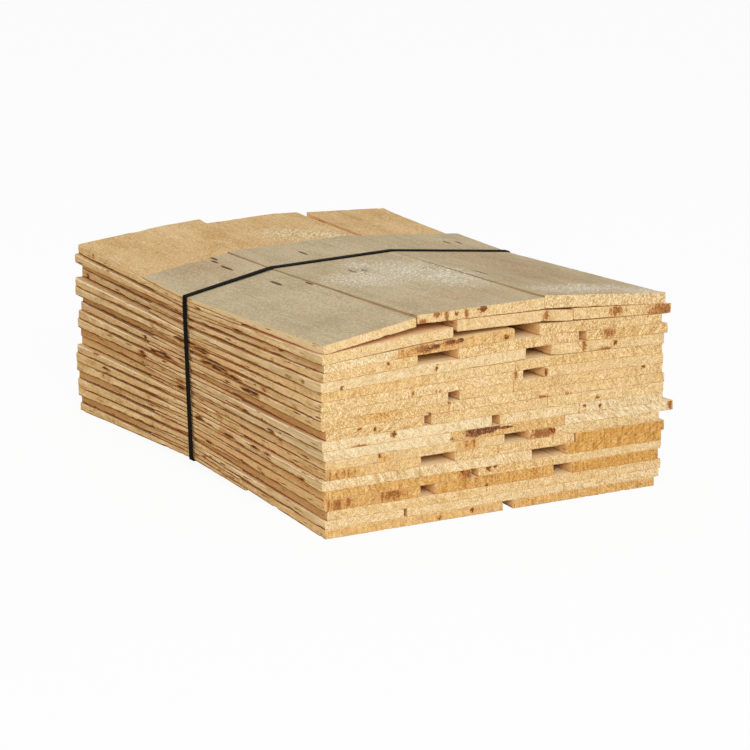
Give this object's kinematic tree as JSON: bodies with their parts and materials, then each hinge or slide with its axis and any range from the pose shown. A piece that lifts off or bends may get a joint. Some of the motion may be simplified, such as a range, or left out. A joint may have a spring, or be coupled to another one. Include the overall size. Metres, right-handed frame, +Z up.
{
  "type": "bundle of wood shingles",
  "caption": "Strapped bundle of tapered wood shingles of random widths, in two tiers with butts outward and thin tips interleaved under a black strap.",
  "frame": {"origin": "on the floor below the middle of the bundle", "axes": "+X along the butt ends to the right, +Y along the shingles from the front butts to the back butts, +Z up"},
  "size_m": [0.4114, 0.577, 0.2121],
  "materials": {
    "cedar": "rough sawn",
    "weathered_cedar": "rough sawn, greyed",
    "strap_black": "satin"
  },
  "bodies": {
    "root": {"front_course_01": "cedar", "front_course_02": "cedar", "front_course_03": "cedar", "front_course_04": "cedar", "front_course_05": "cedar", "front_course_06": "cedar", "front_course_07": "cedar", "front_course_08": "cedar", "front_course_09": "cedar", "front_course_10": "cedar", "front_course_11": "cedar", "front_course_12": "cedar", "front_course_13": "cedar", "front_course_14": "cedar", "front_course_15": "cedar", "front_course_16": "cedar", "front_course_17": "cedar", "front_course_18": "cedar", "front_course_19": "cedar", "front_course_20": "weathered_cedar", "back_course_01": "cedar", "back_course_02": "cedar", "back_course_03": "cedar", "back_course_04": "cedar", "back_course_05": "cedar", "back_course_06": "cedar", "back_course_07": "cedar", "back_course_08": "cedar", "back_course_09": "cedar", "back_course_10": "cedar", "back_course_11": "cedar", "back_course_12": "cedar", "back_course_13": "cedar", "back_course_14": "cedar", "back_course_15": "cedar", "back_course_16": "cedar", "back_course_17": "cedar", "back_course_18": "cedar", "back_course_19": "cedar", "back_course_20": "cedar", "strap": "strap_black"}
  },
  "joints": []
}
